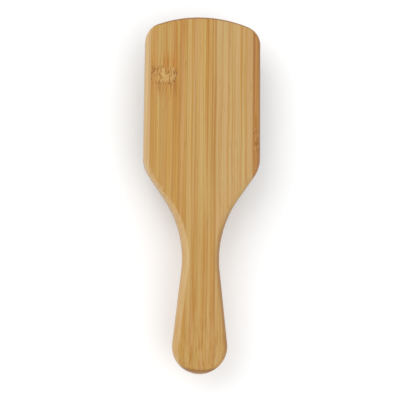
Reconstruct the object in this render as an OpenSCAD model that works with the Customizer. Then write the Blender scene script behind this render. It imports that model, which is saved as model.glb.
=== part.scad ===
// Bamboo paddle brush: laminated board, rubber air cushion and turned bamboo pins.
// The brush lies with its pins down. X runs across it, Y along it with the head at +Y, and Z up out of its back.

/* [Board outline] */
// Overall length of the board
board_len = 245; // [241:1:280]
// Half width of the head
head_half = 39.7; // [38:0.1:48]
// Radius of the bowed top of the head
crown_r = 85; // [60:1:140]
// Radius of the head's top corners
corner_r = 13.4; // [8:0.1:22]
// Radius of the shoulders
shoulder_r = 23.2; // [12:0.1:40]
// Angle that the shoulders turn through
shoulder_turn = 34.3; // [27:0.1:44]
// Half width of the waist of the neck
neck_half = 12.4; // [11.8:0.1:17.5]
// Radius of the hollow of the neck
neck_r = 73.4; // [40:0.1:91]
// Angle at which the handle flares to its end
flare = 6.3; // [5.6:0.1:12]
// Radius of the rounded end of the handle
end_r = 18.3; // [13.1:0.1:18.9]

/* [Board section] */
// Thickness of the back ply
back_t = 5; // [3:0.1:7]
// Thickness of the core ply
core_t = 4.4; // [2:0.1:7]
// Thickness of the front ply
front_t = 5; // [4.7:0.1:7]
// Edge rounding on the head
head_edge = 3; // [1:0.1:4]
// Edge rounding on the handle
grip_edge = 5.2; // [2:0.1:7]
// How far each face falls away at the end of the handle
end_fall = 1.3; // [0:0.1:2]

/* [Strips] */
// Width of the back ply's middle strip
back_mid_w = 20.1; // [15:0.1:22.8]
// Width of the strips beside it
back_side_w = 25; // [18:0.1:26]
// Place of the glue line to the right of the back ply's middle strip
back_seam = 9.2; // [7:0.1:11]
// Width of a strip in the core ply and the front ply
strip_w = 22.5; // [20:0.5:24]
// Place of the core ply's middle glue line
core_seam = -3; // [-4:0.5:0]
// Place of the front ply's middle glue line
front_seam = 2.5; // [0:0.5:4]

/* [Recess] */
// Half width of the recess
recess_half = 32.5; // [26:0.5:34]
// Y of the recess's top
recess_top = 115; // [112:0.5:117]
// Y of the recess's bottom
recess_bottom = 7; // [5:0.5:9.5]
// Depth of the recess
recess_depth = 4.2; // [2:0.1:4.5]
// Depth of the undercut groove in the recess's wall
groove_in = 1.5; // [0.5:0.1:2.5]
// Height of the undercut groove
groove_h = 1.7; // [1:0.1:2.5]

/* [Cushion] */
// Thickness of the rubber
rubber_t = 1.4; // [0.8:0.1:2.5]
// Height of the pad above the board's front face
pad_rise = 4.5; // [2:0.1:8]
// Width of the pad's rounded shoulder
pad_round = 5.5; // [3:0.1:8]
// Gap between the rubber and the wood
rubber_gap = 0.1; // [0.05:0.05:0.3]
// Diameter of a pin hole in the rubber
hole_d = 2.6; // [2.4:0.1:3.4]
// Diameter of the vent hole
vent_d = 1.2; // [0.5:0.1:2]

/* [Pins] */
// How far a pin stands out of the cushion
pin_out = 17; // [12:0.5:24]
// Distance between pins in a row
pin_pitch = 7; // [5.5:0.1:10]
// Distance between rows
row_pitch = 8.2; // [6.5:0.1:8.4]
// Y of the row nearest the handle
first_row = 15.4; // [13:0.1:18.5]
// Diameter of a pin's ball tip
ball_d = 3; // [2.2:0.1:4]
// Diameter of a pin at its collar
shaft_d = 2.6; // [1.6:0.1:3.4]
// Diameter of a pin above its ball tip
waist_d = 1.9; // [1.2:0.1:2.8]
// Diameter of a pin's neck in the rubber
pin_neck_d = 2.3; // [1.2:0.1:2.5]
// Diameter of the collar outside the rubber
collar_d = 3.4; // [2.6:0.1:5]
// Diameter of the root flange behind the rubber
root_d = 4; // [3:0.1:6]
// Lean of the outermost pins to the side
lean_x = 4; // [0:0.5:10]
// Lean of the end rows along the brush
lean_y = 3; // [0:0.5:10]

/* [Hidden] */
bamboo_back = [0.80, 0.65, 0.42];
bamboo_core = [0.72, 0.55, 0.33];
bamboo_front = [0.78, 0.62, 0.40];
bamboo_pin = [0.86, 0.72, 0.50];
rubber = [0.16, 0.15, 0.14];
// Rows of pins, one node each
rows = 12;
far = 400;
eps = 0.01;

// Heights, from the pin tips on the ground up to the back face
pad_z = pin_out;
front_z = pad_z + pad_rise;
core_z = front_z + front_t;
back_z = core_z + core_t;
top_z = back_z + back_t;
mid_z = (front_z + top_z) / 2;

// Stations of the outline's arcs along Y
end_y = -board_len / 2 + end_r;
neck_y = end_y + (end_r + neck_r - (neck_half + neck_r) * cos(flare)) / sin(flare);
shoulder_rise = neck_r + shoulder_r - (neck_half + neck_r - head_half + shoulder_r) * cos(shoulder_turn);
shoulder_y = neck_y + shoulder_rise / sin(shoulder_turn);
crown_y = board_len / 2 - crown_r;

// Points on an arc, each with its outward normal. out is 1 on a bulge and -1 on a hollow.
function arc(cx, cy, r, from, to, steps, out = 1) = [
    for (i = [0 : steps])
        let (a = from + (to - from) * i / steps)
        [cx + r * cos(a), cy + r * sin(a), out * cos(a), out * sin(a)]
];

// Points strictly between two outline points
function between(p, q, steps) = [for (i = [1 : steps - 1]) p + (q - p) * i / steps];

function rest(points) = [for (i = [1 : len(points) - 1]) points[i]];

function last(points) = points[len(points) - 1];

// A bowed end with round corners, from the side at half width to the middle, bulging to +Y
function bowed_end(half, top, bow_r, r, steps) =
    let (
        bow_y = top - bow_r,
        corner_y = bow_y + sqrt(pow(bow_r - r, 2) - pow(half - r, 2)),
        turn = atan2(corner_y - bow_y, half - r)
    )
    concat(
        arc(half - r, corner_y, r, 0, turn, steps),
        rest(arc(0, bow_y, bow_r, turn, 90, steps))
    );

// The right half of the board's outline, from the end of the handle to the top of the head
end_arc = arc(0, end_y, end_r, -90, flare, 12);
neck_arc = arc(neck_half + neck_r, neck_y, neck_r, 180 + flare, 180 - shoulder_turn, 9, -1);
shoulder_arc = arc(head_half - shoulder_r, shoulder_y, shoulder_r, -shoulder_turn, 0, 5);
board_half = concat(
    end_arc,
    between(last(end_arc), neck_arc[0], 5),
    neck_arc,
    rest(shoulder_arc),
    bowed_end(head_half, board_len / 2, crown_r, corner_r, 7)
);

// The right half of the recess's outline, from its bottom to its top
recess_mid = (recess_top + recess_bottom) / 2;
function flipped(points) = [
    for (i = [len(points) - 1 : -1 : 0])
        let (p = points[i])
        [p[0], 2 * recess_mid - p[1], p[2], -p[3]]
];
recess_reach = recess_top - recess_mid;
recess_half_line = concat(
    flipped(bowed_end(recess_half, recess_top, 62, 17, 6)),
    bowed_end(recess_half, recess_top, 78, 12, 6)
);

// A half line moved inwards by d and mirrored into a closed loop of [x, y]
function loop(half_line, d) =
    let (n = len(half_line) - 1)
    concat(
        [for (p = half_line) [p[0] - d * p[2], p[1] - d * p[3]]],
        [for (i = [n - 1 : -1 : 1]) let (p = half_line[i]) [-p[0] + d * p[2], p[1] - d * p[3]]]
    );

// Triangles that join each ring of n points to the next one
function ring_sides(rings, n) = [
    for (j = [0 : rings - 2])
        for (i = [0 : n - 1])
            let (
                a = j * n + i,
                b = j * n + (i + 1) % n
            )
            each [[a, a + n, b], [b, a + n, b + n]]
];

// Flat four-sided faces that close a mirrored ring of n points, starting at point s
function ladder(s, n, up) = [
    for (i = [0 : n / 2 - 1])
        let (
            mate = (n - i) % n,
            next = n - i - 1,
            face = i == 0 ? [s, s + 1, s + next]
                : i == n / 2 - 1 ? [s + i, s + i + 1, s + mate]
                : [s + i, s + i + 1, s + next, s + mate]
        )
        up ? [for (k = [len(face) - 1 : -1 : 0]) face[k]] : face
];

// Edge rounding and the fall of the face, both eased in along the handle
function eased(t) = let (c = min(max(t, 0), 1)) c * c * (3 - 2 * c);
function edge_at(y) = head_edge + (grip_edge - head_edge) * eased((shoulder_y - y) / (shoulder_y - neck_y));
function fall_at(y) = end_fall * pow(max(0, (neck_y - y) / (neck_y + board_len / 2)), 2);

// One point of the back ply's edge. turn runs from 0 on the side to 90 on the face.
function edge_point(p, side, turn) =
    let (
        r = edge_at(p[1]),
        face_z = top_z - fall_at(p[1]),
        rise = min(r, face_z - back_z - 0.3),
        d = r * (1 - cos(turn))
    )
    [side * (p[0] - d * p[2]), p[1] - d * p[3], face_z - rise * (1 - sin(turn))];

function edge_ring(turn) =
    let (n = len(board_half) - 1)
    concat(
        [for (p = board_half) edge_point(p, 1, turn)],
        [for (i = [n - 1 : -1 : 1]) edge_point(board_half[i], -1, turn)]
    );

edge_steps = 4;

// The whole back ply, with its rounded edge, before it is parted into strips
module back_ply() {
    base = [for (p = loop(board_half, 0)) [p[0], p[1], back_z]];
    n = len(base);
    points = concat(base, [for (k = [0 : edge_steps]) each edge_ring(90 * k / edge_steps)]);
    polyhedron(
        points,
        concat(ring_sides(edge_steps + 2, n), ladder(0, n, false), ladder((edge_steps + 1) * n, n, true)),
        convexity = 8
    );
}

module core_ply() {
    translate([0, 0, core_z]) linear_extrude(core_t) polygon(loop(board_half, 0));
}

module front_ply() {
    difference() {
        translate([0, 0, 2 * mid_z]) mirror([0, 0, 1]) back_ply();
        translate([0, 0, front_z - 1]) linear_extrude(recess_depth + 1) polygon(loop(recess_half_line, 0));
        translate([0, 0, front_z + recess_depth - groove_h])
            linear_extrude(groove_h)
            polygon(loop(recess_half_line, -groove_in));
    }
}

// Keeps what lies between two glue lines
module strip(x0, x1) {
    intersection() {
        children();
        translate([x0, -far, 0]) cube([x1 - x0, 2 * far, far]);
    }
}

// Glue lines of each ply from left to right. Strip i lies between lines i - 1 and i.
back_left = back_seam - back_mid_w;
back_lines = [-far, back_left - back_side_w, back_left, back_seam, back_seam + back_side_w, far];
core_lines = [-far, core_seam - strip_w, core_seam, core_seam + strip_w, far];
front_lines = [-far, front_seam - strip_w, front_seam, front_seam + strip_w, far];

module back_strip(i) {
    color(bamboo_back) strip(back_lines[i - 1], back_lines[i]) back_ply();
}

module core_strip(i) {
    color(bamboo_core) strip(core_lines[i - 1], core_lines[i]) core_ply();
}

module front_strip(i) {
    color(bamboo_front) strip(front_lines[i - 1], front_lines[i]) front_ply();
}

// Places of the pins in row i, as [x, y]
pad_line = [for (p = recess_half_line) [p[1] - pad_round * p[3], p[0] - pad_round * p[2]]];
function row_y(i) = first_row + (i - 1) * row_pitch;
vent_y = row_y(rows / 2 + 0.5);
function row_pins(i) =
    let (
        y = row_y(i),
        reach = lookup(y, pad_line) - root_d / 2 - 0.5,
        shift = (i % 2) * pin_pitch / 2
    )
    [for (k = [-6 : 6]) let (x = k * pin_pitch + shift) if (abs(x) <= reach) [x, y]];

// Stands its children on the pad at p with the lean that a pin has there
module at_pin(p) {
    translate([p[0], p[1], pad_z])
        rotate([-lean_y * (p[1] - recess_mid) / recess_reach, -lean_x * p[0] / recess_half, 0])
        children();
}

// The cushion's skirt in section, as [distance in from the recess's wall, height], outside then inside
skirt_steps = 5;
bead_in = rubber_gap - groove_in;
bead_top = front_z + recess_depth - rubber_gap;
bead_low = front_z + recess_depth - groove_h + rubber_gap;
skirt_outside = concat(
    [[bead_in, bead_top], [bead_in, bead_low], [rubber_gap, bead_low]],
    [
        for (k = [0 : skirt_steps])
            let (a = 90 * k / skirt_steps)
            [pad_round - (pad_round - rubber_gap) * cos(a), front_z - pad_rise * sin(a)]
    ]
);
skirt_inside = concat(
    [
        for (k = [skirt_steps : -1 : 0])
            let (a = 90 * k / skirt_steps)
            [pad_round - (pad_round - rubber_gap - rubber_t) * cos(a), front_z - (pad_rise - rubber_t) * sin(a)]
    ],
    [[rubber_gap + rubber_t, bead_top]]
);

// The skirt as a closed tube of rubber round the pad
module skirt() {
    section = concat(skirt_outside, skirt_inside);
    m = len(section);
    points = [for (s = section) each [for (q = loop(recess_half_line, s[0])) [q[0], q[1], s[1]]]];
    n = len(points) / m;
    closing = [
        for (i = [0 : n - 1])
            let (
                a = (m - 1) * n + i,
                b = (m - 1) * n + (i + 1) % n
            )
            each [[a, i, b], [b, i, (i + 1) % n]]
    ];
    sides = concat(ring_sides(m, n), closing);
    polyhedron(points, [for (f = sides) [f[2], f[1], f[0]]], convexity = 8);
}

// Flat top of the pad, with a hole for each pin and the vent
module pad() {
    difference() {
        translate([0, 0, pad_z]) linear_extrude(rubber_t) polygon(loop(recess_half_line, pad_round - eps));
        for (i = [1 : rows])
            for (p = row_pins(i))
                at_pin(p) cylinder(d = hole_d, h = 4 * rubber_t, center = true, $fn = 24);
        translate([0, vent_y, pad_z]) cylinder(d = vent_d, h = 4 * rubber_t, center = true, $fn = 24);
    }
}

module air_cushion() {
    color(rubber) union() {
        skirt();
        pad();
    }
}

// One pin with the outside of the pad at height 0 and its tip at -pin_out
lean_gap = 0.2;
collar_t = 0.8;
root_t = 1.3;
module pin() {
    ball_z = -pin_out + ball_d / 2;
    join_z = sqrt(pow(ball_d / 2, 2) - pow(waist_d / 2, 2));
    rotate_extrude($fn = 24)
        polygon(concat(
            [
                [0, rubber_t + lean_gap + root_t],
                [root_d / 2 - 0.6, rubber_t + lean_gap + root_t],
                [root_d / 2, rubber_t + lean_gap + root_t / 2],
                [root_d / 2, rubber_t + lean_gap],
                [pin_neck_d / 2, rubber_t + lean_gap],
                [pin_neck_d / 2, -lean_gap],
                [collar_d / 2, -lean_gap],
                [collar_d / 2, -lean_gap - collar_t / 2],
                [shaft_d / 2, -lean_gap - collar_t],
                [waist_d / 2, ball_z + join_z],
                [0, ball_z + join_z],
            ]
        ));
    translate([0, 0, ball_z]) sphere(d = ball_d, $fn = 24);
}

module pin_row(i) {
    color(bamboo_pin)
        for (p = row_pins(i))
            at_pin(p) pin();
}

for (i = [1 : len(back_lines) - 1])
    back_strip(i);
for (i = [1 : len(core_lines) - 1])
    core_strip(i);
for (i = [1 : len(front_lines) - 1])
    front_strip(i);
air_cushion();
for (i = [1 : rows])
    pin_row(i);
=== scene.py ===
"""Bamboo paddle brush: a laminated board, a rubber air cushion and turned bamboo pins, seen from behind."""
import functools
import math
import random

import bmesh
import bpy
from mathutils import Matrix, Vector
from mathutils.geometry import delaunay_2d_cdt


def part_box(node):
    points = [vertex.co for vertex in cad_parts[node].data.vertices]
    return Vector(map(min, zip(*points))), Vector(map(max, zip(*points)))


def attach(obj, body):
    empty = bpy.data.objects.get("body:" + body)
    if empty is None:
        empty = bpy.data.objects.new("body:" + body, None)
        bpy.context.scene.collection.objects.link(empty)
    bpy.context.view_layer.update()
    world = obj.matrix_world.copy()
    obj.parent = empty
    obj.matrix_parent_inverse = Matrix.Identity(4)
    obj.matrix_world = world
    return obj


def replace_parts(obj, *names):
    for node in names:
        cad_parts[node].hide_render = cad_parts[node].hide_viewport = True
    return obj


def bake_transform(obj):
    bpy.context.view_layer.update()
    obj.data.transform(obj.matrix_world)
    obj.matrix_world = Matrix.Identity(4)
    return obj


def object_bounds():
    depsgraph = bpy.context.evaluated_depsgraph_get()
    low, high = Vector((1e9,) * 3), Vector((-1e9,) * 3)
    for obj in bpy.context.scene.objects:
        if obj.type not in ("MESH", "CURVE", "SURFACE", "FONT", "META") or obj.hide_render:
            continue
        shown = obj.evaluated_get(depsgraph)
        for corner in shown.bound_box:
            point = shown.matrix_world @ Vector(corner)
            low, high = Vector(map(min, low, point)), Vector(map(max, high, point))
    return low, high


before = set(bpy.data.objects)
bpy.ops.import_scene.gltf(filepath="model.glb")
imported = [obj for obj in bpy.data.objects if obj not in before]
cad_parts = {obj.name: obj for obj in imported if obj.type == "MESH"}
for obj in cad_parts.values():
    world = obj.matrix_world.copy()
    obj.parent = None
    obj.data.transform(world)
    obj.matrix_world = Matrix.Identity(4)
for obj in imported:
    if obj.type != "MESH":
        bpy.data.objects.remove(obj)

CAD_LOW, CAD_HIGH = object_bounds()
MM = 0.001

# The recess, the cushion and the pins, in millimetres
RECESS_HALF, RECESS_TOP, RECESS_BOTTOM = 32.5, 115, 7
LOW_BOW_R, LOW_CORNER_R = 62, 17
HIGH_BOW_R, HIGH_CORNER_R = 78, 12
GROOVE_IN, GROOVE_H = 1.5, 1.7
RUBBER_GAP, RUBBER_T, PAD_ROUND = 0.1, 1.4, 5.5
ROWS, FIRST_ROW, ROW_PITCH, PIN_PITCH = 12, 15.4, 8.2, 7
HOLE_R, VENT_R = 1.3, 0.6
LEAN_X, LEAN_Y = 4, 3
ROUND_SIDES = 28

# Heights and sizes from the frame
BOARD_LEN = (CAD_HIGH.y - CAD_LOW.y) / MM
HEAD_HALF = CAD_HIGH.x / MM
TOP_Z = CAD_HIGH.z / MM
FRONT_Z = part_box("front_strip_2")[0].z / MM
CORE_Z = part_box("core_strip_2")[0].z / MM
BACK_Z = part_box("core_strip_2")[1].z / MM
PAD_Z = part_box("air_cushion")[0].z / MM
FLOOR_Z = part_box("air_cushion")[1].z / MM + RUBBER_GAP

# The board's outline, as the radii and angles of its arcs, and the rounding of its edges
CROWN_R, CORNER_R = 85, 13.4
SHOULDER_R, SHOULDER_TURN = 23.2, 34.3
NECK_HALF, NECK_R = 12.4, 73.4
FLARE, END_R = 6.3, 18.3
HEAD_EDGE, GRIP_EDGE, END_FALL = 3.0, 5.2, 1.3
EDGE_STEPS = 9


def arc(cx, cy, r, start, stop, steps, out=1):
    """Points on an arc, each with its outward normal."""
    points = []
    for i in range(steps + 1):
        a = math.radians(start + (stop - start) * i / steps)
        points.append((cx + r * math.cos(a), cy + r * math.sin(a), out * math.cos(a), out * math.sin(a)))
    return points


def between(p, q, steps):
    """Points strictly between two outline points."""
    return [tuple(a + (b - a) * i / steps for a, b in zip(p, q)) for i in range(1, steps)]


def bowed_end(half, top, bow_r, r, steps):
    """A bowed end with round corners, from its side to its middle."""
    bow_y = top - bow_r
    corner_y = bow_y + math.sqrt((bow_r - r) ** 2 - (half - r) ** 2)
    turn = math.degrees(math.atan2(corner_y - bow_y, half - r))
    return arc(half - r, corner_y, r, 0, turn, steps) + arc(0, bow_y, bow_r, turn, 90, steps)[1:]


def board_half():
    """The right half of the board's outline, from the end of the handle to the top of the head."""
    flare, turn = math.radians(FLARE), math.radians(SHOULDER_TURN)
    end_y = -BOARD_LEN / 2 + END_R
    neck_y = end_y + (END_R + NECK_R - (NECK_HALF + NECK_R) * math.cos(flare)) / math.sin(flare)
    rise = NECK_R + SHOULDER_R - (NECK_HALF + NECK_R - HEAD_HALF + SHOULDER_R) * math.cos(turn)
    shoulder_y = neck_y + rise / math.sin(turn)
    end = arc(0, end_y, END_R, -90, FLARE, 40)
    neck = arc(NECK_HALF + NECK_R, neck_y, NECK_R, 180 + FLARE, 180 - SHOULDER_TURN, 36, -1)
    shoulder = arc(HEAD_HALF - SHOULDER_R, shoulder_y, SHOULDER_R, -SHOULDER_TURN, 0, 18)
    head = bowed_end(HEAD_HALF, BOARD_LEN / 2, CROWN_R, CORNER_R, 22)
    side = between(shoulder[-1], head[0], 12)
    return end + between(end[-1], neck[0], 16) + neck + shoulder[1:] + side + head, neck_y, shoulder_y


HALF, NECK_Y, SHOULDER_Y = board_half()
RECESS_MID = (RECESS_TOP + RECESS_BOTTOM) / 2


def recess_half():
    """The right half of the recess's outline, from its bottom to its top."""
    low = bowed_end(RECESS_HALF, RECESS_TOP, LOW_BOW_R, LOW_CORNER_R, 14)
    low = [(x, 2 * RECESS_MID - y, nx, -ny) for x, y, nx, ny in reversed(low)]
    high = bowed_end(RECESS_HALF, RECESS_TOP, HIGH_BOW_R, HIGH_CORNER_R, 14)
    return low + between(low[-1], high[0], 14) + high


RECESS = recess_half()


def loop(half_line, inset):
    """A half line moved inwards and mirrored into a closed loop of (x, y)."""
    right = [(x - inset * nx, y - inset * ny) for x, y, nx, ny in half_line]
    return right + [(-x, y) for x, y in reversed(right[1:-1])]


def eased(t):
    """Eases from 0 to 1 as t goes from 0 to 1."""
    c = min(max(t, 0), 1)
    return c * c * (3 - 2 * c)


def face_fall(y):
    """How far the board's face has dropped at y, towards the end of the handle."""
    return END_FALL * max(0, (NECK_Y - y) / (NECK_Y + BOARD_LEN / 2)) ** 2


def edge_ring(turn, inset=0):
    """A ring of the back ply's rounded edge. turn runs from 0 on the side to a right angle on the face."""
    right = []
    for x, y, nx, ny in HALF:
        r = HEAD_EDGE + (GRIP_EDGE - HEAD_EDGE) * eased((SHOULDER_Y - y) / (SHOULDER_Y - NECK_Y))
        face_z = TOP_Z - face_fall(y)
        rise = min(r, face_z - BACK_Z - 0.3)
        d = r * (1 - math.cos(turn)) + inset
        right.append((x - d * nx, y - d * ny, face_z - rise * (1 - math.sin(turn))))
    return right + [(-x, y, z) for x, y, z in reversed(right[1:-1])]


# Making meshes


def add_ring(bm, points):
    return [bm.verts.new(p) for p in points]


def circle(radius, x=0, y=0):
    """Points round a circle, as (x, y)."""
    turns = [2 * math.pi * k / ROUND_SIDES for k in range(ROUND_SIDES)]
    return [(x + radius * math.cos(a), y + radius * math.sin(a)) for a in turns]


def bridge(bm, a, b):
    """Faces between two closed rings with the same number of points."""
    for i in range(len(a)):
        j = (i + 1) % len(a)
        bm.faces.new((a[i], a[j], b[j], b[i]))


def fan(bm, tip, ring):
    """Faces from a point to each side of a ring."""
    for a, b in zip(ring, ring[1:] + ring[:1]):
        bm.faces.new((tip, a, b))


def ladder(bm, ring):
    """Closes a mirrored ring with faces that run straight across it."""
    n = len(ring)
    for i in range(n // 2):
        corners = [ring[i], ring[i + 1], ring[n - i - 1], ring[(n - i) % n]]
        bm.faces.new(list(dict.fromkeys(corners)))


def fill_cut(bm):
    """Closes the open edges that a cut has left."""
    open_edges = [e for e in bm.edges if len(e.link_faces) == 1]
    if open_edges:
        bmesh.ops.triangle_fill(bm, edges=open_edges, use_beauty=True)


def fill_ring(bm, outer, inner):
    """Fills the flat area between two rings of vertices, and keeps the heights that they have."""
    verts = outer + inner
    n, m = len(outer), len(inner)
    edges = [(i, (i + 1) % n) for i in range(n)] + [(n + i, n + (i + 1) % m) for i in range(m)]
    flat = [Vector(v.co.xy) for v in verts]
    faces = delaunay_2d_cdt(flat, edges, [], 1, 1e-6)[2]
    middle = sum((Vector(v.co.xy) for v in inner), Vector((0, 0))) / m
    shrunk = [middle + (Vector(v.co.xy) - middle) * 0.9999 for v in inner]
    for face in faces:
        centre = sum((flat[i] for i in face), Vector((0, 0))) / len(face)
        if not inside(centre, shrunk):
            bm.faces.new([verts[i] for i in face])


def inside(point, polygon):
    """Whether a point lies inside a closed polygon."""
    odd = False
    for a, b in zip(polygon, polygon[1:] + polygon[:1]):
        if (a.y > point.y) != (b.y > point.y):
            odd ^= point.x < a.x + (b.x - a.x) * (point.y - a.y) / (b.y - a.y)
    return odd


def keep_between(bm, low, high):
    """Keeps the part of a closed mesh between x = low and x = high."""
    for x, side in ((low, -1), (high, 1)):
        geometry = bm.verts[:] + bm.edges[:] + bm.faces[:]
        bmesh.ops.bisect_plane(
            bm, geom=geometry, dist=1e-5, plane_co=(x, 0, 0), plane_no=(side, 0, 0), clear_outer=True
        )
        fill_cut(bm)


def piece(name, bm, body, material, sharp=35):
    """Turns a mesh in millimetres into a finished piece that rides on a body."""
    bmesh.ops.recalc_face_normals(bm, faces=bm.faces[:])
    bmesh.ops.scale(bm, vec=(MM, MM, MM), verts=bm.verts[:])
    mesh = bpy.data.meshes.new(name)
    bm.to_mesh(mesh)
    bm.free()
    mesh.shade_smooth()
    mesh.set_sharp_from_angle(angle=math.radians(sharp))
    mesh.materials.append(material)
    obj = bpy.data.objects.new(name, mesh)
    bpy.context.scene.collection.objects.link(obj)
    if body:
        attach(obj, body)
    return obj


# Materials


class Graph:
    """A material's nodes. An input is given a number, a colour or another node's output."""

    def __init__(self, name):
        self.material = bpy.data.materials.new(name)
        self.material.use_nodes = True
        self.nodes = self.material.node_tree.nodes
        self.links = self.material.node_tree.links
        self.shader = self.nodes["Principled BSDF"]

    def node(self, kind, inputs=(), output=0, **settings):
        """Makes a node and gives back one of its outputs."""
        made = self.nodes.new("ShaderNode" + kind)
        for key, value in settings.items():
            setattr(made, key, value)
        for key, value in dict(inputs).items():
            self.set(made.inputs[key], value)
        return made.outputs[output]

    def set(self, socket, value):
        if isinstance(value, bpy.types.NodeSocket):
            self.links.new(value, socket)
        else:
            socket.default_value = value

    def math(self, operation, a, b=0.0):
        return self.node("Math", {0: a, 1: b}, operation=operation)

    def times(self, *factors):
        return functools.reduce(lambda a, b: self.math("MULTIPLY", a, b), factors)

    def plus(self, *terms):
        return functools.reduce(lambda a, b: self.math("ADD", a, b), terms)

    def minus(self, a, b):
        return self.math("SUBTRACT", a, b)

    def position(self):
        """The position in millimetres, as x, y and z."""
        metres = self.node("TexCoord", output=3)
        return self.parts(self.node("VectorMath", {0: metres, "Scale": 1 / MM}, operation="SCALE"))

    def parts(self, vector):
        """A vector's x, y and z."""
        made = self.nodes.new("ShaderNodeSeparateXYZ")
        self.links.new(vector, made.inputs[0])
        return tuple(made.outputs)

    def vector(self, x, y, z):
        return self.node("CombineXYZ", {0: x, 1: y, 2: z})

    def noise(self, vector, detail=2.0, roughness=0.5, scale=1.0):
        inputs = {"Vector": vector, "Scale": scale, "Detail": detail, "Roughness": roughness}
        return self.node("TexNoise", inputs)

    def ramp(self, value, low, high, out_low=0.0, out_high=1.0):
        """Eases from one number to another as value goes from low to high."""
        inputs = {"Value": value, "From Min": low, "From Max": high}
        inputs.update({"To Min": out_low, "To Max": out_high})
        return self.node("MapRange", inputs, interpolation_type="SMOOTHSTEP")

    def bump_of(self, value, middle, half_width):
        """1 where value is at middle, easing to 0 at half_width from it."""
        away = self.math("ABSOLUTE", self.minus(value, middle))
        return self.ramp(away, 0.0, half_width, 1.0, 0.0)

    def between(self, factor, a, b):
        """The number a where factor is 0, and b where it is 1."""
        return self.node("MapRange", {"Value": factor, "To Min": a, "To Max": b})

    def mix(self, factor, a, b):
        """The colour a where factor is 0, and b where it is 1."""
        made = self.nodes.new("ShaderNodeMix")
        made.data_type = "RGBA"
        self.set(made.inputs[0], factor)
        self.set(made.inputs[6], a)
        self.set(made.inputs[7], b)
        return made.outputs[2]

    def bump(self, height, distance, strength=1.0):
        made = self.node("Bump", {"Height": height, "Distance": distance, "Strength": strength})
        self.links.new(made, self.shader.inputs["Normal"])


def srgb(r, g, b):
    """A linear colour from the usual 0 to 255 values."""
    linear = [c / 3294.6 if c <= 10 else ((c / 255 + 0.055) / 1.055) ** 2.4 for c in (r, g, b)]
    return (*linear, 1.0)


class Tint:
    """The light, middle and dark colour of a bamboo strip, and how strongly lines mark it."""

    def __init__(self, light, middle, dark, lines=1.0):
        self.light, self.middle, self.dark, self.lines = srgb(*light), srgb(*middle), srgb(*dark), lines


PALE = Tint((188, 157, 101), (184, 148, 90), (175, 132, 68), 0.5)
FAIR = Tint((187, 154, 91), (181, 139, 72), (171, 117, 30))
WARM = Tint((184, 147, 75), (179, 134, 61), (170, 115, 26), 0.7)
# The pale tint is pale bamboo, and also painted light where it colours the left edge strip; the brown tint
# is a darker strip with painted shade
PALE_AND_LIT = Tint((194, 162, 112), (187, 152, 100), (177, 136, 82))
BROWN_AND_SHADED = Tint((176, 126, 62), (159, 106, 46), (140, 84, 32))
FIBRE = srgb(132, 80, 32)
ROSY = srgb(190, 146, 100)
TAN = srgb(180, 152, 88)
GOLD = srgb(178, 128, 34)
HONEY = srgb(168, 117, 26)
STREAK = srgb(157, 100, 14)
GLUE = srgb(140, 92, 44)
# Painted highlight for the left rounded edge and painted shade for the right one
PAINTED_EDGE_HIGHLIGHT = srgb(204, 172, 124)
SHADED = srgb(142, 96, 54)
# The end grain's own darker colour with painted shade over it, and a deeper painted shade arc near each end
END_GRAIN_AND_SHADE = srgb(152, 108, 72)
END_GRAIN_DEEP_SHADE = srgb(108, 60, 26)

# The colours of a bamboo node, and of the fibres above and below it
NODE_BAND = srgb(178, 124, 48)
NODE_ISLAND = srgb(196, 160, 96)
NODE_FLECK = srgb(140, 85, 14)
NODE_RIM = srgb(135, 82, 10)
NODE_OUTLINE = srgb(140, 87, 14)
NODE_DOT = srgb(92, 62, 26)
STAIN_ABOVE = srgb(178, 118, 34)
STAIN_BELOW = srgb(170, 110, 28)
THREAD = srgb(148, 92, 14)


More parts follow.
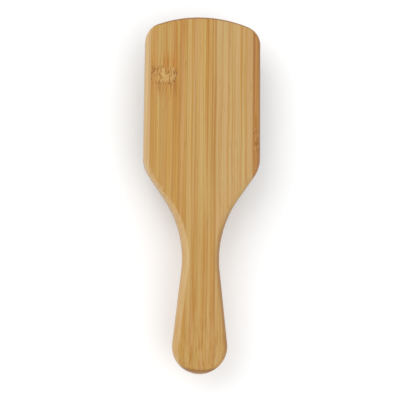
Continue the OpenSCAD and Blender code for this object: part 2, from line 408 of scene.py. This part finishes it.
def knuckle(g, colour, x, y, place, pale, seed):
    """Paints a bamboo node: a frayed band with pale islands and dark flecks, and stained fibres by it."""
    left, right, middle, half = place
    across = g.times(g.ramp(x, left - 0.3, left + 0.3), g.ramp(x, right - 3.5, right + 1.0, 1.0, 0.0))

    def pattern(along_x, along_y, offset, detail=2.0):
        return g.noise(g.vector(g.times(x, along_x), g.times(y, along_y), seed + offset), detail, 0.6)

    def paint(amount, strength, target, base):
        return g.mix(g.times(amount, across, strength), base, target)

    # The band's height is how far y is from its middle line, which wanders, and its edges fray
    fray = g.minus(pattern(1.1, 0.16, 5.0), 0.5)
    height = g.minus(g.plus(g.minus(y, middle), g.times(pattern(0.22, 0.0, 1.0, 1.0), 6.0)), 3.0)
    ragged = g.plus(height, g.times(fray, 9.0))
    away = g.math("ABSOLUTE", ragged)
    band = g.ramp(away, half - 1.6, half, 1.0, 0.0)

    # Stained fibres that fade away above and below the band
    streaks = pattern(0.8, 0.03, 9.0)
    above = g.times(g.ramp(ragged, half - 2, half + 1), g.ramp(height, half + 2, half + 15, 1.0, 0.0))
    below = g.times(g.ramp(ragged, 1 - half, 2 - half, 1.0, 0.0), g.ramp(height, -half - 15, -half - 2))
    colour = paint(g.times(above, g.ramp(streaks, 0.35, 0.6)), 0.75, STAIN_ABOVE, colour)
    colour = paint(g.times(below, g.ramp(streaks, 0.48, 0.6)), 0.75, STAIN_BELOW, colour)
    threads = g.ramp(pattern(0.75, 0.035, 17.0), 0.53, 0.62)
    colour = paint(g.times(threads, g.math("MAXIMUM", above, below)), 0.65, THREAD, colour)

    # The band, with pale islands that have dark rims, and dark flecks between them
    patch = g.plus(pattern(0.24, 0.11, 3.0, 1.0), g.times(fray, 0.30))
    island = g.times(band, g.ramp(patch, 0.50, 0.53))
    colour = paint(band, 0.40, NODE_BAND, colour)
    colour = paint(island, pale, NODE_ISLAND, colour)
    bare = g.minus(band, g.times(island, 0.6))
    flecks = g.ramp(pattern(0.85, 0.24, 7.0), 0.52, 0.62)
    colour = paint(g.times(flecks, bare), 0.80, NODE_FLECK, colour)
    colour = paint(g.times(band, g.bump_of(patch, 0.50, 0.048)), 0.90, NODE_RIM, colour)
    broken = g.ramp(pattern(0.5, 0.1, 13.0), 0.40, 0.55)
    colour = paint(g.times(g.bump_of(away, half - 0.3, 1.0), broken), 0.75, NODE_OUTLINE, colour)
    dot = g.node("TexVoronoi", {"Vector": g.vector(x, g.times(y, 0.7), seed), "Scale": 0.30})
    dots = g.times(g.ramp(dot, 0.12, 0.22, 1.0, 0.0), g.bump_of(height, half * 0.4, 3.0))
    return paint(dots, 0.9, NODE_DOT, colour)


def fibre_colour(g, fibres, y, tint, medium, short, cut_across):
    """The bamboo's own colour: light and dark fibres, drifts of hue, and long thin lines."""
    broad, narrow = fibres(0.16, 0.0035, 1.0), fibres(1.80, 0.010, 19.0)
    crisp = g.ramp(fibres(0.68, 0.010, 91.0, 1.0), 0.38, 0.62, 0.36, 0.64)
    on_grip = g.ramp(y, -45, 5, 0.55, 0.0)
    tone = g.plus(g.times(broad, 0.25), g.times(medium, 0.30), g.times(narrow, 0.45))
    tone = g.between(cut_across, g.between(on_grip, tone, crisp), short)
    colour = g.mix(g.ramp(tone, 0.39, 0.5, 1.0, 0.0), tint.middle, tint.dark)
    colour = g.mix(g.ramp(tone, 0.5, 0.61), colour, tint.light)

    hue = fibres(0.42, 0.006, 53.0)
    colour = g.mix(g.ramp(hue, 0.52, 0.66, 0.0, 0.50), colour, ROSY)
    colour = g.mix(g.ramp(hue, 0.34, 0.48, 0.65, 0.0), colour, TAN)
    colour = g.mix(g.ramp(fibres(0.50, 0.005, 71.0), 0.54, 0.68, 0.0, 0.55), colour, GOLD)

    dark_line = g.between(cut_across, g.bump_of(fibres(0.34, 0.003, 47.0, 1.0), 0.5, 0.085), 0.0)
    colour = g.mix(g.times(dark_line, 0.40 * tint.lines), colour, STREAK)
    pale_line = g.between(cut_across, g.bump_of(fibres(0.40, 0.003, 83.0, 1.0), 0.48, 0.085), 0.0)
    colour = g.mix(g.times(pale_line, 0.50 * tint.lines), colour, tint.light)
    return g.mix(g.ramp(y, -60, 15, 0.34, 0.0), colour, HONEY)


def edge_light_shade_and_end_grain(g, colour, medium, paints_edge_light):
    """Painted highlight on the left edge, painted shade on the right edge, and the brown end grain of both
    ends with painted shade over it.
    """
    facing_x, facing_y, _ = g.parts(g.node("TexCoord", output=1))
    endwise = g.math("ABSOLUTE", facing_y)
    if paints_edge_light:
        left = g.plus(facing_x, g.times(endwise, 0.85))
        right = g.minus(facing_x, g.times(endwise, 0.45))
        # Painted highlight on the left rounded edge, painted shade on the right one
        lit_left_edge = g.times(g.ramp(left, -0.26, -0.12, 1.0, 0.0), g.ramp(medium, 0.35, 0.65, 0.35, 0.60))
        colour = g.mix(lit_left_edge, colour, PAINTED_EDGE_HIGHLIGHT)
        colour = g.mix(g.ramp(right, 0.30, 0.75, 0.0, 0.62), colour, SHADED)
    # Darker end grain at both ends, partly its own colour and partly painted shade
    end_face = g.minus(endwise, g.times(g.math("ABSOLUTE", facing_x), 0.5))
    colour = g.mix(g.ramp(end_face, 0.34, 0.62, 0.0, 0.65), colour, END_GRAIN_AND_SHADE)
    return g.mix(g.times(g.bump_of(end_face, 0.52, 0.22), 0.50), colour, END_GRAIN_DEEP_SHADE)


def bamboo(name, tint, seed, streaks=(), seams=(), knuckles=(), paints_edge_light=False):
    """Bamboo with its fibres along Y, the streaks, glue lines and nodes of one strip, and painted light and
    shade on its edges.
    """
    g = Graph(name)
    x, y, z = g.position()
    wander = g.noise(g.vector(g.times(x, 0.08), g.times(y, 0.016), seed), 1.0)
    gx = g.plus(x, g.times(g.minus(wander, 0.5), 1.3))

    def fibres(across, lengthwise, offset, detail=2.0, roughness=0.5):
        """Noise that is drawn out along the fibres. The rates are in noise units for each millimetre."""
        shifted = g.plus(g.times(gx, across), offset + seed)
        place = g.vector(shifted, g.times(y, lengthwise), g.times(z, across * 1.6))
        return g.noise(place, detail, roughness)

    # The rounded end of the handle cuts the fibres into short dashes
    cut_across = g.ramp(y, -98, -74, 0.90, 0.0)
    short = fibres(0.85, 0.055, 37.0, 3.0, 0.65)
    medium = fibres(0.80, 0.005, 7.0, 2.0, 0.6)
    colour = fibre_colour(g, fibres, y, tint, medium, short, cut_across)
    colour = g.mix(g.times(g.ramp(short, 0.40, 0.47, 1.0, 0.0), cut_across, 0.35), colour, STREAK)

    bundles = g.times(g.ramp(fibres(1.9, 0.075, 23.0), 0.60, 0.72), 0.32)
    colour = g.mix(bundles, colour, FIBRE)
    faded = g.ramp(fibres(0.02, 0.014, 61.0, 1.0), 0.3, 0.6, 0.45, 1.0)
    for at, half_width, strength in streaks:
        line = g.times(g.bump_of(gx, at, half_width), g.between(cut_across, faded, 0.3))
        target = STREAK if strength > 0 else tint.light
        colour = g.mix(g.times(line, 0.7 * abs(strength)), colour, target)
    for place, pale, node_seed in knuckles:
        colour = knuckle(g, colour, gx, y, place, pale, node_seed)
    for at in seams:
        colour = g.mix(g.times(g.bump_of(x, at, 0.22), 0.55), colour, GLUE)
    g.set(g.shader.inputs["Base Color"], edge_light_shade_and_end_grain(g, colour, medium, paints_edge_light))

    fine = fibres(2.6, 0.035, 13.0, 3.0, 0.6)
    g.set(g.shader.inputs["Roughness"], g.ramp(g.plus(fine, bundles), 0.2, 1.0, 0.40, 0.58))
    g.shader.inputs["Specular IOR Level"].default_value = 0.42
    g.shader.inputs["Coat Weight"].default_value = 0.12
    g.shader.inputs["Coat Roughness"].default_value = 0.32
    g.bump(g.minus(g.plus(g.times(fine, 0.6), g.times(medium, 0.6)), bundles), 0.00008, 0.6)
    return g.material


def rubber(name):
    """Matt moulded rubber with a fine stipple, slightly greyed where dust clings."""
    g = Graph(name)
    x, y, z = g.position()
    place = g.vector(x, y, z)
    cloud = g.noise(place, 3.0, 0.6, 0.09)
    stipple = g.noise(place, 2.0, 0.5, 3.2)
    speck = g.node("TexVoronoi", {"Vector": place, "Scale": 2.4})
    colour = g.mix(g.ramp(cloud, 0.35, 0.68), srgb(34, 33, 32), srgb(50, 48, 46))
    colour = g.mix(g.times(g.ramp(stipple, 0.52, 0.75), 0.5), colour, srgb(70, 67, 63))
    g.set(g.shader.inputs["Base Color"], colour)
    g.set(g.shader.inputs["Roughness"], g.ramp(stipple, 0.3, 0.7, 0.52, 0.68))
    g.shader.inputs["Specular IOR Level"].default_value = 0.38
    g.bump(g.plus(g.times(speck, 0.6), stipple), 0.00009, 0.55)
    return g.material


def pin_wood(name):
    """Turned bamboo with its fibres along each pin, and each pin of its own tone."""
    g = Graph(name)
    x, y, z = g.position()

    def cell(value, size):
        """A whole number that is the same all over one pin."""
        return g.math("FLOOR", g.times(g.plus(value, 200.0), 1 / size))

    def fibres(across, lengthwise, detail, roughness=0.5):
        place = g.vector(g.times(x, across), g.times(y, across), g.times(z, lengthwise))
        return g.noise(place, detail, roughness)

    own = g.noise(g.vector(cell(x, PIN_PITCH / 2), cell(y, ROW_PITCH), 0.5), 0.0, 0.5, 3.7)
    grain = fibres(2.6, 0.10, 3.0, 0.6)
    dash = fibres(4.4, 0.35, 1.0)
    colour = g.mix(g.ramp(grain, 0.34, 0.66), srgb(196, 152, 92), srgb(224, 192, 140))
    colour = g.mix(g.ramp(own, 0.35, 0.65, 0.0, 0.45), colour, srgb(206, 166, 108))
    colour = g.mix(g.times(g.ramp(dash, 0.58, 0.70), 0.55), colour, srgb(150, 102, 52))
    g.set(g.shader.inputs["Base Color"], colour)
    g.set(g.shader.inputs["Roughness"], g.ramp(grain, 0.3, 0.7, 0.34, 0.50))
    g.shader.inputs["Specular IOR Level"].default_value = 0.45
    g.bump(g.plus(grain, g.times(dash, -0.5)), 0.00005, 0.6)
    return g.material


def plain_floor(name):
    """A pale, slightly uneven studio floor."""
    g = Graph(name)
    x, y, z = g.position()
    cloud = g.noise(g.vector(x, y, z), 3.0, 0.5, 0.004)
    colour = g.mix(cloud, (0.93, 0.93, 0.93, 1.0), (0.96, 0.96, 0.96, 1.0))
    g.set(g.shader.inputs["Base Color"], colour)
    g.shader.inputs["Roughness"].default_value = 0.9
    g.shader.inputs["Specular IOR Level"].default_value = 0.1
    return g.material


# The board


def back_ply():
    """The whole back ply, with its rounded edge, in millimetres."""
    bm = bmesh.new()
    ring = add_ring(bm, [(x, y, BACK_Z) for x, y in loop(HALF, 0)])
    ladder(bm, ring)
    for k in range(EDGE_STEPS + 1):
        upper = add_ring(bm, edge_ring(math.pi / 2 * k / EDGE_STEPS))
        bridge(bm, ring, upper)
        ring = upper
    flat = add_ring(bm, edge_ring(math.pi / 2, 0.5))
    bridge(bm, ring, flat)
    ladder(bm, flat)
    return bm


def core_ply():
    """The whole core ply, a plain slab."""
    bm = bmesh.new()
    low = add_ring(bm, [(x, y, CORE_Z) for x, y in loop(HALF, 0)])
    high = add_ring(bm, [(x, y, BACK_Z) for x, y in loop(HALF, 0)])
    ladder(bm, low)
    bridge(bm, low, high)
    ladder(bm, high)
    return bm


def front_ply():
    """The front ply: the back ply's mirror image with the recess routed into it."""
    bm = bmesh.new()

    def mirrored(points):
        return [(x, y, FRONT_Z + TOP_Z - z) for x, y, z in points]

    ring = add_ring(bm, [(x, y, CORE_Z) for x, y in loop(HALF, 0)])
    ladder(bm, ring)
    for k in range(EDGE_STEPS + 1):
        lower = add_ring(bm, mirrored(edge_ring(math.pi / 2 * k / EDGE_STEPS)))
        bridge(bm, ring, lower)
        ring = lower
    rim = add_ring(bm, mirrored(edge_ring(math.pi / 2, 0.5)))
    bridge(bm, ring, rim)

    # The recess: its wall, the ledge under the groove, the groove's wall and the floor
    wall = add_ring(bm, [(x, y, FRONT_Z) for x, y in loop(RECESS, 0)])
    fill_ring(bm, rim, wall)
    for outset, z in ((0, FLOOR_Z - GROOVE_H), (GROOVE_IN, FLOOR_Z - GROOVE_H), (GROOVE_IN, FLOOR_Z)):
        deeper = add_ring(bm, [(x, y, z) for x, y in loop(RECESS, -outset)])
        bridge(bm, wall, deeper)
        wall = deeper
    ladder(bm, wall)
    return bm


# Streaks in each strip of the back: place across the brush, half width, and strength (negative if pale)
BACK_STREAKS = {
    "back_strip_2": [
        (-34.0, 1.4, 0.4), (-29.2, 0.9, 0.5), (-25.4, 1.0, 0.7), (-20.2, 0.9, 0.6), (-15.8, 1.2, 0.9),
    ],
    "back_strip_3": [
        (-9.0, 1.6, -0.8), (-7.1, 0.7, 0.8), (-5.0, 0.7, 0.9), (-1.0, 1.4, -0.4),
        (3.2, 0.6, 1.0), (4.5, 0.9, -0.9), (6.6, 0.9, 0.9), (8.4, 1.1, 1.0),
    ],
    "back_strip_4": [
        (10.2, 0.9, -0.8), (12.6, 0.5, 0.2), (17.4, 0.5, 0.3), (20.3, 0.6, 0.5),
        (22.8, 1.4, -0.5), (26.4, 0.5, 0.2), (28.0, 1.2, -0.5), (30.6, 0.6, 0.3),
    ],
    "back_strip_5": [(35.2, 0.7, 0.9), (37.8, 0.8, 0.8)],
}
# back_strip_1's pale tint is painted light on the lit left edge; back_strip_5's brown tint is a darker strip
# with painted shade on the right edge
BACK_TINTS = {
    "back_strip_1": PALE_AND_LIT,
    "back_strip_2": WARM,
    "back_strip_3": FAIR,
    "back_strip_4": PALE,
    "back_strip_5": BROWN_AND_SHADED,
}
# The bamboo nodes in a strip: left, right, middle and half height, how pale its islands are, and a seed
BACK_KNUCKLES = {
    "back_strip_2": [((-36.4, -16.6, 79.5, 5.8), 0.55, 7.9)],
    "back_strip_5": [((35.0, 41.0, 36.0, 8.5), 0.1, 9.6)],
}


def strip(node, ply, seed, tint, streaks=(), knuckles=(), paints_edge_light=False):
    """One strip, cut out of its whole ply between its own glue lines."""
    low, high = (corner.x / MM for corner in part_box(node))
    seams = [x for x in (low, high) if abs(x) < HEAD_HALF - 0.1]
    past_edge = 2 * HEAD_HALF
    bm = ply()
    keep_between(bm, low if low in seams else -past_edge, high if high in seams else past_edge)
    material = bamboo(node + "_bamboo", tint, seed, streaks, seams, knuckles, paints_edge_light)
    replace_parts(piece(node + "_visual", bm, "board", material), node)


def plies():
    """Every strip of the board, cut from its ply between the glue lines that the frame gives."""
    for i in range(1, 6):
        name = f"back_strip_{i}"
        streaks, knuckles = BACK_STREAKS.get(name, ()), BACK_KNUCKLES.get(name, ())
        strip(name, back_ply, i * 3.7, BACK_TINTS[name], streaks, knuckles, True)
    for i in range(1, 5):
        strip(f"core_strip_{i}", core_ply, 31 + i * 4.3, PALE_AND_LIT if i < 3 else WARM)
    for i in range(1, 5):
        strip(f"front_strip_{i}", front_ply, 67 + i * 5.9, WARM if i == 3 else PALE)


# The cushion and the pins


def pad_reach(y):
    """Half the pad's flat width at y."""
    edge = [(py - PAD_ROUND * ny, px - PAD_ROUND * nx) for px, py, nx, ny in RECESS]
    for (y0, x0), (y1, x1) in zip(edge, edge[1:]):
        if y0 <= y <= y1:
            return x0 + (x1 - x0) * (y - y0) / (y1 - y0)
    return 0


def row_pins(i):
    """Places of the pins in row i, counted from the handle."""
    y = FIRST_ROW + (i - 1) * ROW_PITCH
    reach = pad_reach(y) - 2.5
    shift = (i % 2) * PIN_PITCH / 2
    return [(k * PIN_PITCH + shift, y) for k in range(-6, 7) if abs(k * PIN_PITCH + shift) <= reach]


def pad_face(bm, boundary, holes):
    """A flat face with holes, each (x, y, lip), a lip being (radius, height) pairs. Returns their rims."""
    verts, height = list(boundary), boundary[0].co.z
    edges = [(i, (i + 1) % len(verts)) for i in range(len(verts))]
    rims = []
    for x, y, lip in holes:
        hole_r, lip_r = lip[0][0], lip[-1][0]
        room = min(math.dist(v.co.xy, (x, y)) for v in boundary) - 0.12
        squeeze = min(1, (room - hole_r) / max(lip_r - hole_r, 0.1))
        rims.append(len(verts))
        for radius, raised in lip:
            start = len(verts)
            wide = hole_r + (radius - hole_r) * squeeze
            verts += add_ring(bm, [(px, py, height - raised) for px, py in circle(wide, x, y)])
            edges += [(start + k, start + (k + 1) % ROUND_SIDES) for k in range(ROUND_SIDES)]
    flat = [Vector(v.co.xy) for v in verts]
    for face in delaunay_2d_cdt(flat, edges, [], 1, 1e-6)[2]:
        centre = sum((flat[i] for i in face), Vector((0, 0))) / len(face)
        in_hole = (math.dist(centre, (x, y)) < 0.98 * lip[0][0] for x, y, lip in holes)
        if not any(in_hole):
            bm.faces.new([verts[i] for i in face])
    return [verts[start:start + ROUND_SIDES] for start in rims]


def cushion():
    """The rubber pad: a bead in the groove, a rounded shoulder, and a flat top with a lip round each pin."""
    bm = bmesh.new()
    rise = FRONT_Z - PAD_Z
    bead_out = RUBBER_GAP - GROOVE_IN
    bead_low, bead_high = FLOOR_Z - GROOVE_H + RUBBER_GAP, FLOOR_Z - RUBBER_GAP
    outside = [(bead_out, bead_high), (bead_out, bead_low), (RUBBER_GAP, bead_low)]
    inner = []
    steps = 14
    for k in range(steps + 1):
        a = math.pi / 2 * k / steps
        wide, tall = PAD_ROUND - RUBBER_GAP, rise
        outside.append((PAD_ROUND - wide * math.cos(a), FRONT_Z - tall * math.sin(a)))
        wide, tall = wide - RUBBER_T, tall - RUBBER_T
        inner.append((PAD_ROUND - wide * math.cos(a), FRONT_Z - tall * math.sin(a)))
    section = outside + inner[::-1] + [(RUBBER_GAP + RUBBER_T, bead_high)]
    rings = [add_ring(bm, [(x, y, z) for x, y in loop(RECESS, d)]) for d, z in section]
    last = len(outside) - 1
    for k in range(len(rings)):
        if k != last:
            bridge(bm, rings[k], rings[(k + 1) % len(rings)])
    lip = ((0, 0), (0.5, 0), (0.68, 0.45), (0.9, 0.5), (1.08, 0.35), (1.18, 0))
    pin_lip = [(HOLE_R + out, raised) for out, raised in lip]
    vent_lip = [(VENT_R, 0), (VENT_R + 0.3, 0.12), (VENT_R + 0.6, 0)]
    holes = [(x, y, pin_lip) for i in range(1, ROWS + 1) for x, y in row_pins(i)]
    holes.append((0, FIRST_ROW + (ROWS - 1) / 2 * ROW_PITCH, vent_lip))
    top = pad_face(bm, rings[last], holes)
    under = pad_face(bm, rings[last + 1], [(x, y, lip[:1]) for x, y, lip in holes])
    for a, b in zip(top, under):
        bridge(bm, a, b)
    material = rubber("cushion_rubber_matt")
    obj = piece("cushion_visual", bm, None, material, 50)
    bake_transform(obj)
    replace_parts(obj, "air_cushion")


def pin_profile():
    """A pin's outline as (radius, height), from its root flange to its tip, with the pad at height 0."""
    root = [(0, 2.9), (1.2, 2.9), (1.7, 2.75), (1.95, 2.4), (2.0, 2.05), (1.9, 1.65), (1.15, 1.6)]
    collar = [(1.15, -0.1), (1.45, -0.12), (1.66, -0.3), (1.7, -0.5), (1.62, -0.75), (1.4, -0.98)]
    shaft = []
    for t in (0, 0.2, 0.4, 0.6, 0.8, 0.94):
        shaft.append((1.3 - 0.35 * t + 0.06 * math.sin(math.pi * t), -1.15 - 12.9 * t))
    ball_z, ball_r, start, steps = -15.5, 1.5, 50, 10
    ball = []
    for k in range(steps + 1):
        a = math.radians(start - (start + 90) * k / steps)
        ball.append((max(ball_r * math.cos(a), 0), ball_z + ball_r * math.sin(a)))
    return root + collar + shaft + ball


def pin_row(i, material, chance):
    """One row of pins as one piece."""
    bm = bmesh.new()
    for x, y in row_pins(i):
        turn_x = math.radians(-LEAN_X * x / RECESS_HALF)
        turn_y = math.radians(-LEAN_Y * (y - RECESS_MID) / (RECESS_TOP - RECESS_MID))
        lean = Matrix.Rotation(turn_x, 4, "Y") @ Matrix.Rotation(turn_y, 4, "X")
        place = Matrix.Translation((x, y, PAD_Z)) @ lean
        fat = 1 + chance.uniform(-0.03, 0.03)
        rings = []
        for radius, height in pin_profile():
            wide = radius * (fat if -14 < height < -1 else 1)
            points = circle(wide) if wide > 1e-6 else [(0, 0)]
            rings.append(add_ring(bm, [place @ Vector((px, py, height)) for px, py in points]))
        for a, b in zip(rings, rings[1:]):
            if len(a) == len(b):
                bridge(bm, a, b)
            else:
                fan(bm, min(a, b, key=len)[0], max(a, b, key=len))
    name = f"pin_row_{i}"
    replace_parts(piece(name + "_visual", bm, "pins", material, 50), name)


# The studio


def area_light(name, place, aim, size, power, colour):
    """A round soft light that faces a point."""
    data = bpy.data.lights.new(name, "AREA")
    data.shape, data.size, data.energy, data.color = "DISK", size, power, colour
    obj = bpy.data.objects.new(name, data)
    obj.location = place
    obj.rotation_euler = (Vector(aim) - Vector(place)).to_track_quat("-Z", "Y").to_euler()
    bpy.context.scene.collection.objects.link(obj)


def studio():
    """A pale floor, a soft light from the upper left, a fill from the lower right, and an even sky."""
    bm = bmesh.new()
    far = 3000
    corners = [(-far, -far), (far, -far), (far, far), (-far, far)]
    bm.faces.new([bm.verts.new((x, y, 0)) for x, y in corners])
    bmesh.ops.subdivide_edges(bm, edges=bm.edges[:], cuts=8, use_grid_fill=True)
    bmesh.ops.scale(bm, vec=(MM, MM, MM), verts=bm.verts[:])
    bmesh.ops.translate(bm, vec=(0, 0, CAD_LOW.z - 0.0002), verts=bm.verts[:])
    mesh = bpy.data.meshes.new("floor")
    bm.to_mesh(mesh)
    bm.free()
    mesh.materials.append(plain_floor("floor_pale"))
    floor = bpy.data.objects.new("floor", mesh)
    bpy.context.scene.collection.objects.link(floor)
    area_light("key", (-0.75, 0.45, 1.1), (0, 0, 0.03), 1.5, 7.0, (1.0, 0.985, 0.96))
    area_light("fill", (0.7, -0.5, 1.3), (0, 0, 0.03), 1.6, 5.2, (0.97, 0.985, 1.0))
    world = bpy.data.worlds.new("soft")
    world.use_nodes = True
    sky = world.node_tree.nodes["Background"]
    sky.inputs["Color"].default_value = (0.97, 0.985, 1.0, 1.0)
    sky.inputs["Strength"].default_value = 0.88
    bpy.context.scene.world = world
    bpy.context.scene.view_settings.view_transform = "Standard"


def camera():
    """Nearly straight down on the back, a little from the left and from the handle, with a long lens."""
    yaw, pitch, roll = (math.radians(a) for a in (5.1, 10.4, 0.58))
    distance, lens = 1.0, 132.6
    aim = Vector((-0.0007, -0.0050, (FRONT_Z + TOP_Z) / 2 * MM))
    flat = math.cos(pitch)
    back = Vector((-math.sin(yaw) * flat, -math.sin(pitch), math.cos(yaw) * flat))
    right = (-back).cross(Vector((0, 1, 0))).normalized()
    up = right.cross(-back)
    rolled_right = right * math.cos(roll) + up * math.sin(roll)
    rolled_up = up * math.cos(roll) - right * math.sin(roll)
    data = bpy.data.cameras.new("camera")
    data.lens, data.sensor_width = lens, 36
    data.clip_start, data.clip_end = 0.05, 20
    obj = bpy.data.objects.new("camera", data)
    turn = Matrix((rolled_right, rolled_up, back)).transposed()
    obj.matrix_world = Matrix.Translation(aim + back * distance) @ turn.to_4x4()
    bpy.context.scene.collection.objects.link(obj)
    bpy.context.scene.camera = obj


camera()
studio()
plies()
cushion()
pin_material = pin_wood("pin_bamboo")
pin_chance = random.Random(7)
for row in range(1, ROWS + 1):
    pin_row(row, pin_material, pin_chance)
